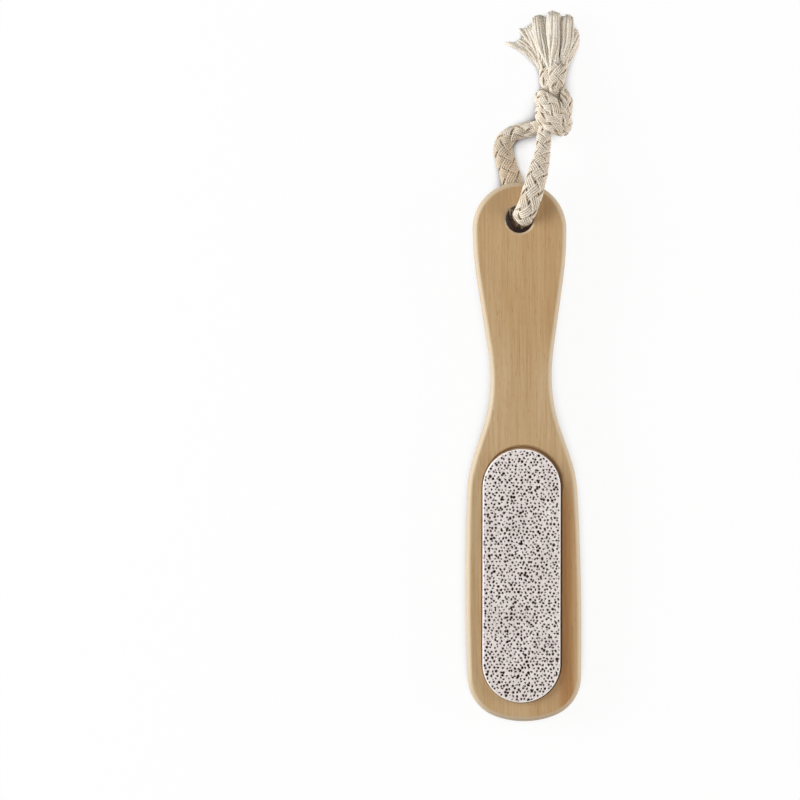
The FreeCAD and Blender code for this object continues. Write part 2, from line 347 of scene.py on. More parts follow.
def wood_finish():
    """Layers, fibres and faint pores, multiplied together, under a thin satin lacquer.

    The painted shade of the stone multiplies that colour too, and the painted highlight is mixed in on the
    rounded edges."""
    material, tree, shader = new_finish("pale_hardwood")
    place = add_node(tree, "ShaderNodeTexCoord").outputs["Object"]
    turn = (-board_lean, 0, 0)
    layers = stretched_noise(tree, place, (190, 2.6, 70), detail=3, turn=turn)
    fibres = stretched_noise(tree, place, (1700, 26, 800), detail=4, roughness=0.65, turn=turn)
    clouds = stretched_noise(tree, place, (40, 14, 30), detail=2, turn=turn)
    dashes = stretched_noise(tree, place, (3600, 260, 1700), detail=1, turn=turn)
    tone = colour_ramp(tree, layers, [(0.30, srgb(195, 171, 136)), (0.5, srgb(189, 163, 126)),
                                      (0.72, srgb(181, 151, 112))])
    warm = colour_ramp(tree, clouds, [(0.35, srgb(255, 252, 246)), (0.7, srgb(247, 233, 214))])
    colour = mix_colours(tree, 1.0, tone, warm, "MULTIPLY")
    fine = colour_ramp(tree, fibres, [(0.28, srgb(226, 212, 192)), (0.55, srgb(255, 255, 255))])
    colour = mix_colours(tree, 0.7, colour, fine, "MULTIPLY")
    pores = colour_ramp(tree, dashes, [(0.62, srgb(255, 255, 255)), (0.76, srgb(214, 184, 150))])
    colour = mix_colours(tree, 0.6, colour, pores, "MULTIPLY")
    # painted shade of the raised stone, multiplied in beside it
    colour = mix_colours(tree, painted_stone_shade(tree, place), colour, STONE_SHADE_TINT, "MULTIPLY")
    # painted highlight on the rounded edges
    colour = mix_colours(tree, painted_edge_sheen(tree), colour, EDGE_SHEEN_PAINT)
    tree.links.new(colour, shader.inputs["Base Color"])
    gloss = add_node(tree, "ShaderNodeMapRange", {"To Min": 0.45, "To Max": 0.57}, {"Value": fibres})
    tree.links.new(gloss.outputs[0], shader.inputs["Roughness"])
    shader.inputs["Specular IOR Level"].default_value = 0.48
    relief = bump(tree, fibres, FIBRE_RELIEF)
    relief = bump(tree, dashes, DASH_RELIEF, after=relief)
    tree.links.new(relief, shader.inputs["Normal"])
    return material


paddle = frame["nodes"]["wooden_paddle"]
paddle.data.materials.clear()
paddle.data.materials.append(wood_finish())
print("paddle has", len(paddle.data.polygons), "triangles")

# %% [markdown]
# The helpers that follow put a surface worked out with numpy into a mesh. A tube is a stack of rings; its
# quads join each ring to the next, and a fan closes each end. Faces have to point outwards, so the signed
# volume is added up from the faces, and a surface that comes out inside out is turned.


# %% Helpers for meshes
def tube_faces(rings, sides):
    """Quads between neighbouring rings of a tube, and a fan of triangles on each end's middle point."""
    index = np.arange(rings * sides).reshape(rings, sides)
    after = np.roll(index, -1, axis=1)
    quads = np.stack([index[:-1], after[:-1], after[1:], index[1:]], axis=-1).reshape(-1, 4)
    first, last = rings * sides, rings * sides + 1
    fan_start = np.stack([after[0], index[0], np.full(sides, first)], axis=-1)
    fan_end = np.stack([index[-1], after[-1], np.full(sides, last)], axis=-1)
    return quads, np.concatenate([fan_start, fan_end])


def tube_points(rings):
    """The rings' points in one list, then the middle of the first and of the last ring."""
    ends = np.stack([rings[0].mean(axis=0), rings[-1].mean(axis=0)])
    return np.concatenate([rings.reshape(-1, rings.shape[-1]), ends])


def signed_volume(points, triangles):
    """A sixth of the sum of each triangle's triple product: positive if the faces point outwards."""
    a, b, c = (points[triangles[:, k]] for k in range(3))
    return np.einsum("ij,ij->i", a, np.cross(b, c)).sum() / 6


def make_piece(name, tubes, material, attributes=None):
    """One smooth-shaded object from several tubes, given as stacks of rings, with values per point."""
    points, quads, triangles, start = [], [], [], 0
    for rings in tubes:
        corners = tube_points(rings)
        four, three = tube_faces(*rings.shape[:2])
        split = np.concatenate([four[:, [0, 1, 2]], four[:, [0, 2, 3]], three])
        if signed_volume(corners - corners.mean(axis=0), split) < 0:
            four, three = four[:, ::-1], three[:, ::-1]
        points.append(corners)
        quads.append(four + start)
        triangles.append(three + start)
        start += len(corners)
    mesh = bpy.data.meshes.new(name)
    faces = np.concatenate(quads).tolist() + np.concatenate(triangles).tolist()
    mesh.from_pydata(np.concatenate(points).tolist(), [], faces)
    mesh.shade_smooth()
    for attribute, (kind, values) in (attributes or {}).items():
        data = mesh.attributes.new(attribute, kind, "POINT").data
        data.foreach_set("vector" if kind == "FLOAT_VECTOR" else "value",
                         np.concatenate(values).astype(np.float32).ravel())
    mesh.materials.append(material)
    thing = bpy.data.objects.new(name, mesh)
    bpy.context.scene.collection.objects.link(thing)
    count = sum(len(f) - 2 for f in faces)
    print(name, "has", len(tubes), "closed surfaces and", count, "triangles")
    return thing


# %% [markdown]
# The stone is a stadium: a block with straight sides and half-round ends, set a little askew. Its surface
# is one profile carried round that outline: in under the bottom, up the side, over a small worn arris and
# in across the top to the middle line. On the top, each point sinks by the deepest of nearly three
# thousand bowls, which are the pores. Gas bubbles in pumice keep apart, so the large pores are the points
# of a honeycomb that are shaken out of place; small shallow ones lie anywhere between. The seed is fixed.

# %% Stone
STONE_LONG = 94.0 * MM
STONE_WIDE = 28.8 * MM
STONE_BOTTOM = 6.5 * MM
STONE_TOP = 13.0 * MM
STONE_ACROSS = -0.751 * MM
STONE_ALONG = 54.252 * MM
STONE_TURN = math.radians(0.7)
STONE_ARRIS = 0.4 * MM
STONE_AROUND = 1100
STONE_TOP_RINGS = 74
STONE_SIDE_RINGS = 6
STONE_ARRIS_RINGS = 4
RIM_WIDTH = 0.55 * MM
RIM_BARE_SHARE = 0.6
PORE_SPACING = 1.47 * MM
PORE_SHAKE = 0.28
SMALL_PORES = 1500
PORE_GROUPS = 60
# Radii in mm: the large pores' median and limits, and the small pores' limits
PORE_RADIUS = 0.445
PORE_RADIUS_LIMITS = (0.28, 0.60)
SMALL_PORE_LIMITS = (0.14, 0.28)
PORE_RADIUS_SPREAD = 0.17
# A pore's depth for its radius, large and small, and how narrow its ellipse is for its length
PORE_STEEPNESS = (0.9, 1.6)
SMALL_PORE_STEEPNESS = (0.3, 0.9)
PORE_SLIMNESS = (0.62, 1.0)
rng = np.random.default_rng(7)


def ease(value, low, high):
    """0 below low, 1 above high, and a smooth step between."""
    share = np.clip((value - low) / (high - low), 0, 1)
    return share * share * (3 - 2 * share)


def stadium_walk(count, long, wide):
    """Points evenly spaced round a stadium's middle line and the outward direction at each of them."""
    radius = wide / 2
    run = long - wide
    turn = math.pi * radius
    walk = np.arange(count) / count * 2 * (run + turn)
    lap = walk % (run + turn)
    side = np.where(walk < run + turn, 1.0, -1.0)
    angle = np.clip((lap - run) / radius, 0, math.pi)
    spine = side * (np.minimum(lap, run) - run / 2)
    outward = np.stack([side * np.cos(angle), side * np.sin(angle)], axis=-1)
    return spine, outward


def pore_depth(places, pores):
    """Each place's depth: a pore is a bowl, its depth times the root of one less its squared distance.

    The distance is measured in the pore's own ellipse, and the deepest bowl at a place counts. The pores
    are taken in groups, so that the arrays stay small."""
    depth = np.zeros(len(places))
    for group in np.array_split(pores, PORE_GROUPS):
        offset = places[:, None] - group[None, :, :2]
        cos, sin = np.cos(group[:, 4]), np.sin(group[:, 4])
        along = (offset[..., 0] * cos + offset[..., 1] * sin) / group[:, 2]
        across = (offset[..., 1] * cos - offset[..., 0] * sin) / (group[:, 2] * group[:, 3])
        bowl = np.sqrt(np.clip(1 - along ** 2 - across ** 2, 0, None)) * group[:, 5]
        depth = np.maximum(depth, bowl.max(axis=1))
    return depth


def scatter_pores():
    """Pores as rows of x, y, radius, slimness, angle and depth.

    The large ones are a honeycomb, every second row shifted by half a step, each shaken by a share of
    the step; the small ones are spread evenly at random and are shallow."""
    half_wide, half_long = STONE_WIDE / 2, STONE_LONG / 2
    rows = np.arange(-half_long, half_long, PORE_SPACING * math.sqrt(0.75))
    columns = np.arange(-half_wide, half_wide, PORE_SPACING)
    x, y = np.meshgrid(columns, rows)
    x = x + PORE_SPACING / 2 * (np.arange(len(rows)) % 2)[:, None]
    large = np.stack([x.ravel(), y.ravel()], axis=-1)
    large = large + rng.uniform(-PORE_SHAKE, PORE_SHAKE, large.shape) * PORE_SPACING
    small = rng.uniform((-half_wide, -half_long), (half_wide, half_long), (SMALL_PORES, 2))
    radius = rng.lognormal(math.log(PORE_RADIUS), PORE_RADIUS_SPREAD, len(large))
    radius = np.clip(radius, *PORE_RADIUS_LIMITS)
    radius = np.append(radius, rng.uniform(*SMALL_PORE_LIMITS, SMALL_PORES)) * MM
    steep = rng.uniform(*PORE_STEEPNESS, len(large))
    steep = np.append(steep, rng.uniform(*SMALL_PORE_STEEPNESS, SMALL_PORES))
    slim = rng.uniform(*PORE_SLIMNESS, len(radius))
    angle = rng.uniform(0, math.pi, len(radius))
    return np.column_stack([np.concatenate([large, small]), radius, slim, angle, radius * steep])


def on_stone(across, along, up):
    """Row points of places given from the stone's middle, in its own askew directions."""
    cos, sin = math.cos(STONE_TURN), math.sin(STONE_TURN)
    return on_board(STONE_ACROSS + across * cos + along * sin, STONE_ALONG - across * sin + along * cos, up)


def stone_surface():
    """The profile carried round the outline, sunk by the pores: points, depths, rim and sides.

    Each ring of the profile lies so far in from the outline and so high: three rings make the bottom, then
    come the side, a quarter circle for the arris and the top. The pores fade out across the rim."""
    spine, outward = stadium_walk(STONE_AROUND, STONE_LONG, STONE_WIDE)
    radius = STONE_WIDE / 2
    tall = STONE_TOP - STONE_BOTTOM
    bottom = [radius, 0.3 * radius, 0.0]
    side_rise = np.linspace(0, 1, STONE_SIDE_RINGS + 1)[1:] * (tall - STONE_ARRIS)
    bend = np.linspace(0, math.pi / 2, STONE_ARRIS_RINGS)
    top = np.linspace(STONE_ARRIS, radius, STONE_TOP_RINGS)[1:]
    inset = np.concatenate([bottom, np.zeros(STONE_SIDE_RINGS), STONE_ARRIS * (1 - np.cos(bend)), top])
    rise = np.concatenate([np.zeros(len(bottom)), side_rise, tall - STONE_ARRIS * (1 - np.sin(bend)),
                           np.full(len(top), tall)])
    reach = (radius - inset)[:, None]
    flat = np.stack([reach * outward[:, 0], reach * outward[:, 1] + spine], axis=-1)
    depth = pore_depth(flat.reshape(-1, 2), scatter_pores()).reshape(reach.shape[0], -1)
    depth *= ease(inset, RIM_BARE_SHARE * RIM_WIDTH, RIM_WIDTH)[:, None] * (rise > 0)[:, None]
    side_end = 0.1 * STONE_ARRIS
    side = np.broadcast_to(((inset < side_end) & (rise > 0))[:, None], depth.shape)
    rim = np.broadcast_to(((inset > side_end) & (inset < RIM_WIDTH))[:, None], depth.shape)
    up = STONE_BOTTOM + rise[:, None] - depth
    return on_stone(flat[..., 0], flat[..., 1], up), depth, rim, side


# painted shade: the dark brown in the pores, deeper ones darker, and in the spots on the sides
PAINTED_PORE_SHADE = srgb(70, 46, 35)
# the paler colour of the narrow rim round the stone's top
RIM_COLOUR = srgb(244, 239, 236)
FULL_DARK = 0.26 * MM
SIDE_PORES_PER_METRE = 720
STONE_RELIEF = 0.12 * MM


def stone_finish():
    """Light warm grey, paler on the rim, with painted shade that is darker the deeper a pore is, and a fine
    grain.

    On the sawn sides, dark spots of painted shade round the points of a cell pattern stand for the pores."""
    material, tree, shader = new_finish("pumice")
    place = add_node(tree, "ShaderNodeTexCoord").outputs["Object"]
    depth = add_node(tree, "ShaderNodeAttribute", attribute_name="pore_depth").outputs["Fac"]
    rim = add_node(tree, "ShaderNodeAttribute", attribute_name="pale_rim").outputs["Fac"]
    side = add_node(tree, "ShaderNodeAttribute", attribute_name="sawn_side").outputs["Color"]
    clouds = stretched_noise(tree, place, (150, 90, 150), detail=3)
    grain = stretched_noise(tree, place, (2600, 2600, 2600), detail=3, roughness=0.7)
    pale = colour_ramp(tree, clouds, [(0.3, srgb(229, 219, 216)), (0.7, srgb(242, 233, 230))])
    speck = colour_ramp(tree, grain, [(0.3, srgb(200, 190, 184)), (0.55, srgb(255, 255, 255))])
    pale = mix_colours(tree, 0.6, pale, speck, "MULTIPLY")
    pale = mix_colours(tree, rim, pale, RIM_COLOUR)
    # painted shade, by the depth of the pore
    colour = mix_colours(tree, depth, pale, PAINTED_PORE_SHADE)
    cells = add_node(tree, "ShaderNodeTexVoronoi", {"Scale": SIDE_PORES_PER_METRE}, {"Vector": place})
    spots = colour_ramp(tree, cells.outputs["Distance"], [(0.24, (1, 1, 1, 1)), (0.36, (0, 0, 0, 1))])
    spots = mix_colours(tree, 1.0, spots, side, "MULTIPLY")
    colour = mix_colours(tree, spots, colour, PAINTED_PORE_SHADE)
    tree.links.new(colour, shader.inputs["Base Color"])
    shader.inputs["Roughness"].default_value = 0.95
    shader.inputs["Specular IOR Level"].default_value = 0.2
    tree.links.new(bump(tree, grain, STONE_RELIEF), shader.inputs["Normal"])
    return material


stone_rings, stone_depth, stone_rim, stone_side = stone_surface()
shade = np.clip(stone_depth / FULL_DARK, 0, 1)
stone_values = {"pore_depth": shade, "pale_rim": stone_rim, "sawn_side": stone_side}
stone = make_piece("pumice_block", [stone_rings], stone_finish(), {
    name: ("FLOAT", [np.append(values.ravel(), [0, 0])]) for name, values in stone_values.items()})
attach(stone, "file")
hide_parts("pumice_stone")
print("pores cover", round(100 * (stone_depth[-STONE_TOP_RINGS + 1:] > 0).mean()), "% of the top's points")

# %% [markdown]
# Under the stone lies a film of set glue, and pressing the stone in squeezed a bead of it up into the gap
# round the stone, higher where the gap is narrow. Film and bead are one profile carried round the recess:
# out along the floor, up the recess's wall, over the bead, down the stone's side and in under the stone.

# %% Glue
RECESS_LONG = 94.9 * MM
RECESS_WIDE = 30.0 * MM
RECESS_FLOOR = 6.0 * MM
STONE_SHIFT = np.array([-0.15, -0.10]) * MM
GLUE_AROUND = 360
GLUE_RELIEF = 0.2 * MM
SKIN = 0.03 * MM
BEAD_DROP = 0.2 * MM
BEAD_GAP = 0.35 * MM
BEAD_FALL = 3.2
BEAD_RIPPLE = 0.12 * MM
BEAD_WAVES = (0.31, 0.113)
BEAD_RISES = (0.08 * MM, 0.10 * MM, 0.25 * MM)


def glue_surface():
    """Rings of the glue: the recess's outline outside, the stone's inside, and the bead between them.

    In a gap of one named width the bead lies a set drop under the board's face, in a wider gap lower by a
    multiple of the difference. Two sines ripple it, and it rises a little from the wall to the stone."""
    spine, outward = stadium_walk(GLUE_AROUND, RECESS_LONG, RECESS_WIDE)
    run_gap = (RECESS_LONG - RECESS_WIDE - STONE_LONG + STONE_WIDE) / 2
    gap = (RECESS_WIDE - STONE_WIDE) / 2 + run_gap * np.abs(outward[:, 1]) - outward @ STONE_SHIFT
    level = BOARD - BEAD_DROP - BEAD_FALL * (gap - BEAD_GAP)
    step = np.arange(GLUE_AROUND)
    level = level + BEAD_RIPPLE * np.sin(step * BEAD_WAVES[0]) * np.sin(step * BEAD_WAVES[1])
    wall = np.full(GLUE_AROUND, RECESS_WIDE / 2 - SKIN)
    side = wall + 2 * SKIN - gap
    none = np.zeros(GLUE_AROUND)
    floor = none + RECESS_FLOOR + SKIN
    film = none + STONE_BOTTOM - SKIN
    inset = 0.3 * gap
    near_wall, near_stone, at_stone = (level + rise for rise in BEAD_RISES)
    profile = [(none, floor), (wall, floor), (wall, level), (wall - inset, near_wall),
               (side + inset, near_stone), (side, at_stone), (side, film), (none, film)]
    reach = np.stack([out for out, up in profile])
    up = np.stack([up for out, up in profile])
    across = reach * outward[:, 0] - STONE_SHIFT[0]
    along = reach * outward[:, 1] + spine - STONE_SHIFT[1]
    return on_stone(across, along, up)


def glue_finish():
    """Brown set glue: one noise gives both its tint and its lumps."""
    material, tree, shader = new_finish("set_glue")
    place = add_node(tree, "ShaderNodeTexCoord").outputs["Object"]
    lumps = stretched_noise(tree, place, (400, 400, 400), detail=3)
    tint = colour_ramp(tree, lumps, [(0.3, srgb(146, 110, 76)), (0.7, srgb(176, 140, 102))])
    tree.links.new(tint, shader.inputs["Base Color"])
    shader.inputs["Roughness"].default_value = 0.5
    tree.links.new(bump(tree, lumps, GLUE_RELIEF), shader.inputs["Normal"])
    return material


glue = make_piece("squeezed_glue", [glue_surface()], glue_finish())
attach(glue, "file")
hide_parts("glue_bed")

# %% [markdown]
# The cord is one soft length, doubled through the hole and tied in an overhand knot, so there are two cords
# to follow: the front one comes up out of the hole and over the handle's end, the back one runs down and
# along the table. Each route is a list of points picked against the photograph: the leg, the turns of the
# knot and the tail. A smooth spline takes them as its control points, and what is made along the cord
# follows points read back from that spline.

# %% Cord routes
# In mm: across, along from the hole's lower mouth, and up from the table; a knot's turns from its middle
KNOT = np.array([13.1, 39.9, 7.7])
FACE = hole_mouth[2] / MM

front_leg = [
    (0.9, 0.2, FACE - 4.4), (1.3, 0.6, FACE + 2.3), (3.7, 5.6, FACE + 5.6), (6.6, 15.6, FACE + 3.2),
    (8.9, 24.2, FACE - 3.2),
]
front_knot = [
    (-3.6, -10.0, 2.4), (-3.4, -7.0, 0.2), (-2.6, -3.0, 0.2), (-0.6, 1.4, 0.6), (2.6, 4.6, -0.4),
    (4.4, 3.4, -3.2), (2.6, 0.0, -5.0), (-1.2, -1.4, -5.2), (-3.7, -1.2, -4.0), (-4.9, -0.9, -0.4),
    (-4.3, -1.6, 3.2), (-1.8, -4.0, 4.8), (1.4, -6.0, 4.3), (3.8, -6.6, 1.2), (2.6, -5.8, -2.4),
    (0.2, -3.0, -3.2), (-1.4, 2.4, -2.8), (-1.6, 7.0, -3.6),
]
left_tail = [(11.5, 49.0, 3.0), (11.6, 53.0, 3.0), (11.7, 56.4, 3.0)]
back_leg = [
    (0.9, 0.2, FACE - 4.4), (0.8, 0.0, 7.2), (0.4, 4.3, 3.1), (-1.7, 12.2, 3.1), (-4.3, 20.4, 3.1),
    (-6.2, 27.6, 3.1), (-2.6, 32.2, 3.1),
]
back_knot = [
    (-9.6, -6.6, -4.2), (-5.2, -5.6, -3.2), (-0.8, -5.2, -1.4), (3.0, -3.6, 0.8), (5.0, -0.2, 2.2),
    (5.2, 3.6, 2.6), (4.3, 6.4, 0.2), (2.0, 7.0, -3.4), (-1.4, 6.4, -4.9), (-3.9, 5.8, -3.6),
    (-5.0, 5.0, -0.2), (-4.2, 4.3, 3.4), (-1.2, 2.6, 5.2), (2.4, -1.2, 4.9), (4.6, -4.4, 3.0),
    (5.2, -6.0, 0.2), (3.6, -5.6, -3.0), (1.4, -2.0, -2.8), (0.8, 3.0, -0.8), (0.9, 6.4, 0.8),
]
right_tail = [(14.4, 49.4, 8.9), (14.8, 53.0, 8.6), (15.0, 56.6, 8.2)]
HOLE_LEAN = 0.194
hole_foot = np.array([0, hole_middle[1] / MM + HOLE_LEAN, 0])
knot_middle = (KNOT + hole_foot) * MM


def cord_points(leg, knot, tail):
    """A whole cord's control points in metres: leg and tail from the hole, knot from its middle."""
    turns = [tuple(KNOT + np.array(point)) for point in knot]
    return (np.array(leg + turns + tail) + hole_foot) * MM


def spline_points(name, control):
    """Points along a NURBS curve with these control points, read back from Blender without a bevel."""
    curve = bpy.data.curves.new(name, "CURVE")
    curve.dimensions = "3D"
    spline = curve.splines.new("NURBS")
    spline.points.add(len(control) - 1)
    weights = np.ones((len(control), 1))
    spline.points.foreach_set("co", np.hstack([control, weights]).ravel())
    spline.order_u = 3
    spline.use_endpoint_u = True
    spline.resolution_u = 24
    thing = bpy.data.objects.new(name, curve)
    mesh = bpy.data.meshes.new_from_object(thing)
    points = np.empty(len(mesh.vertices) * 3)
    mesh.vertices.foreach_get("co", points)
    bpy.data.objects.remove(thing)
    bpy.data.meshes.remove(mesh)
    return points.reshape(-1, 3)


def lengths_along(points):
    """How far along its line each point lies: the running sum of the steps between points."""
    return np.concatenate([[0], np.cumsum(np.linalg.norm(np.diff(points, axis=0), axis=1))])


def evenly(points, step):
    """The same line with points a fixed step apart."""
    run = lengths_along(points)
    places = np.linspace(0, run[-1], round(run[-1] / step) + 1)
    return np.stack([np.interp(places, run, points[:, axis]) for axis in range(3)], axis=-1)


CORD_STEP = 0.4 * MM
front_line = evenly(spline_points("front_cord", cord_points(front_leg, front_knot, left_tail)), CORD_STEP)
back_line = evenly(spline_points("back_cord", cord_points(back_leg, back_knot, right_tail)), CORD_STEP)
print("front cord", round(lengths_along(front_line)[-1] / MM, 1), "mm; back cord",
      round(lengths_along(back_line)[-1] / MM, 1), "mm")

# %% [markdown]
# The cord is a braided tube, pressed flat by handling, so it needs to know which way its flat side looks:
# up along the legs, outwards round the knot. That direction is carried along the line without twisting
# and then eased towards the wanted one.

# %% Frames along a cord
TURN_EASE = 41
TANGENT_EASE = 9
KNOT_RADIUS = 6 * MM
KNOT_SLENDERNESS = 1.25
KNOT_FADE = (6.5 * MM, 10 * MM)
LENGTHWISE_SHARE = 0.25


def smooth(values, width):
    """A moving average along the first axis, with the ends held."""
    kernel = np.hanning(width + 2)[1:-1]
    kernel /= kernel.sum()
    padded = np.concatenate([np.repeat(values[:1], width // 2, axis=0), values,
                             np.repeat(values[-1:], width // 2, axis=0)])
    columns = padded.reshape(len(padded), -1).T
    evened = np.stack([np.convolve(column, kernel, "valid") for column in columns], axis=-1)
    return evened.reshape(values.shape)


def unit(vectors):
    """Each vector divided by its length."""
    return vectors / np.linalg.norm(vectors, axis=-1, keepdims=True)


def carried_normals(tangents, first):
    """A direction square to the line, carried along it with no twist: each step takes out what has
    become parallel to the line."""
    normals = np.empty_like(tangents)
    current = first
    for k, tangent in enumerate(tangents):
        current = current - tangent * (current @ tangent)
        current = current / np.linalg.norm(current)
        normals[k] = current
    return normals


def cord_frame(line, wanted):
    """Along, across and flat-side directions of a flattened cord on a line.

    The wanted directions are turned into angles about the line. A cord looks the same from both flat
    sides, so the angles are unwrapped by half turns before they are evened out."""
    along = unit(smooth(np.gradient(line, axis=0), TANGENT_EASE))
    level = carried_normals(along, np.array([0.0, -1.0, 0.0]))
    aside = np.cross(along, level)
    angle = np.arctan2((wanted * aside).sum(axis=1), (wanted * level).sum(axis=1))
    angle = smooth(np.unwrap(2 * angle) / 2, TURN_EASE)[:, None]
    flat_side = level * np.cos(angle) + aside * np.sin(angle)
    return along, np.cross(flat_side, along), flat_side


def knot_share(line):
    """1 inside the knot and 0 well outside it: a smooth step of the distance from its middle.

    The knot is longer than it is wide, so distance along it counts for less."""
    away = np.linalg.norm((line - knot_middle) / [1.0, KNOT_SLENDERNESS, 1.0], axis=1)
    return 1 - ease(away, *KNOT_FADE)


def wanted_side(line):
    """Up on the legs and tails, away from the knot's long axis inside it, mixed by the knot's share."""
    share = knot_share(line)[:, None]
    outwards = (line - knot_middle) * [1, LENGTHWISE_SHARE, 1] / KNOT_RADIUS
    return share * outwards + (1 - share) * [0, 0, 1]


print("knot holds", round(100 * knot_share(front_line).mean()), "% of the front cord")

# %% [markdown]
# Eight ribbons make the braid: four wind round the tube one way and four the other way. Where two meet, one
# lies over the other, and at its next crossing it lies under, so a ribbon's distance from the middle goes
# up and down along a cosine, and the other way's ribbons follow the same cosine upside down. A ribbon is
# four yarns side by side, so its outer face has four lobes. A core fills the tube. The tube is widest near
# the hole and pulled narrow at the knot. Handling makes the braid's pitch waver a little, and the back leg
# is darkened with painted shade towards the hole. Each point also gets the depth of its groove and its
# place on a straight ribbon, so that the finish can follow the yarns round every bend.

# %% Braid
BRAID_PERIOD = 23.0 * MM
RIBBONS_EACH_WAY = 4
WEAVE = 0.44 * MM
RIBBON_THICK = 0.46 * MM
RIBBON_SHARE = 0.315
RIBBON_CROWN = 0.7
RIBBONS_APART = 0.05
KNOT_SPREAD = 0.12
LEG_WIDENS = (13 * MM, 30 * MM)
TAIL_WIDENS = (7 * MM, 13 * MM)
BACK_SHADE_STARTS = (13 * MM, 26 * MM)
YARNS = 4
POINTS_PER_YARN = 5
LOBE_POWER = 0.6
GROOVE = 0.34 * MM
CORE_SIDES = 12
CORE_INSET = 0.5 * MM
CORE_SHADE = 0.6
FLOOR_GAP = 0.05 * MM
# painted shade: how far the back leg is mixed towards the gaps' tan
BACK_LEG_SHADE = 0.8
PITCH_WAVER = 0.3
PITCH_WAVER_LENGTH = 5.0 * MM


def tube_size(line):
    """Half axes of the tube that the ribbons wind on: a plain size in mm plus a part for each place.

    It is wide towards the hole and in the tails, and flat inside the knot."""
    towards_hole = ease(np.linalg.norm(line - knot_middle, axis=1), *LEG_WIDENS)
    tail = ease(line[:, 1] - knot_middle[1], *TAIL_WIDENS)
    inside = knot_share(line)
    wide = 2.05 + 1.05 * towards_hole + 0.35 * inside + 0.5 * tail
    thick = 1.85 + 0.2 * towards_hole - 0.5 * inside
    return wide * MM, thick * MM


def ribbon_section():
    """A ribbon's ring as shares of its half width and heights: lobes on the outer face, a flat inner face.

    A lobe is a sine that is nought at a yarn's two sides, to a power that makes it fuller; the face as a
    whole is gently crowned."""
    place = np.linspace(-1, 1, YARNS * POINTS_PER_YARN + 1)
    lobe = np.abs(np.sin(math.pi * YARNS * (place + 1) / 2))
    height = RIBBON_THICK * np.sqrt(1 - RIBBON_CROWN * place ** 2) - GROOVE * (1 - lobe ** LOBE_POWER)
    inner = np.array([0.8, 0.3, -0.3, -0.8])
    return (np.append(place, inner), np.append(height, np.full(len(inner), -RIBBON_THICK)),
            np.append(1 - lobe, np.ones(len(inner))))


def braid_ribbons(line, phase, painted_shade):
    """The core and eight ribbons of a braid along a line, as rings of points, grooves and own places.

    A ribbon's angle round the tube's ellipse grows with the length and wavers by a sine, and its lift is a
    cosine of four times that angle. A painted shade darkens the stretch towards the hole, as a share of a
    groove's darkness."""
    along, across, flat_side = cord_frame(line, wanted_side(line))
    run = lengths_along(line)
    wide, thick = tube_size(line)
    turn = np.linspace(0, 2 * math.pi, CORE_SIDES, endpoint=False)
    core = (line[:, None] + across[:, None] * ((wide - CORE_INSET)[:, None] * np.cos(turn))[..., None]
            + flat_side[:, None] * ((thick - CORE_INSET)[:, None] * np.sin(turn))[..., None])
    tubes = [(core, np.full(core.shape[:2], CORE_SHADE), core)]
    share, height, groove = ribbon_section()
    # painted shade, growing towards the hole
    shaded_share = painted_shade * ease(np.linalg.norm(line - knot_middle, axis=1), *BACK_SHADE_STARTS)
    groove = np.maximum(groove, shaded_share[:, None])
    advance = 2 * math.pi * run / BRAID_PERIOD + phase
    advance = advance + PITCH_WAVER * np.sin(run / PITCH_WAVER_LENGTH)
    half_width = RIBBON_SHARE * (wide + thick) * (1 + KNOT_SPREAD * knot_share(line))
    for way in (1, -1):
        lift = way * WEAVE * np.cos(RIBBONS_EACH_WAY * advance)
        for k in range(RIBBONS_EACH_WAY):
            angle = way * advance + 2 * math.pi * k / RIBBONS_EACH_WAY
            cos, sin = np.cos(angle)[:, None], np.sin(angle)[:, None]
            outward = unit(across * cos / wide[:, None] + flat_side * sin / thick[:, None])
            centre = line + across * cos * wide[:, None] + flat_side * sin * thick[:, None]
            centre = centre + outward * lift[:, None]
            forward = unit(np.gradient(centre, axis=0))
            up = unit(outward - forward * (outward * forward).sum(axis=1, keepdims=True))
            side = np.cross(up, forward)
            sideways = half_width[:, None] * share
            rings = centre[:, None] + side[:, None] * sideways[..., None] + up[:, None] * height[:, None]
            rings[..., 2] = np.maximum(rings[..., 2], FLOOR_GAP)
            places = np.broadcast_arrays(run[:, None] + RIBBONS_APART * k, sideways, height + way * MM)
            tubes.append((rings, groove, np.stack(places, axis=-1)))
    return tubes


front_braid = braid_ribbons(front_line, phase=0.4, painted_shade=0.0)
back_braid = braid_ribbons(back_line, phase=2.0, painted_shade=BACK_LEG_SHADE)
print("each cord has", len(front_braid) - 1, "ribbons of", YARNS, "yarns on a core")

# %% [markdown]
# Undyed cotton is cream, and light that has bounced between the yarns comes out of the gaps tan. The
# finish mixes the two by the depth of the groove, streaks the yarns with fine fibres drawn out along the
# strand, and has the soft edge glow of a fuzzy surface, which shaders call sheen.

# %% Cotton
GAP_TAN = srgb(186, 164, 134)
COTTON_RELIEF = 0.12 * MM


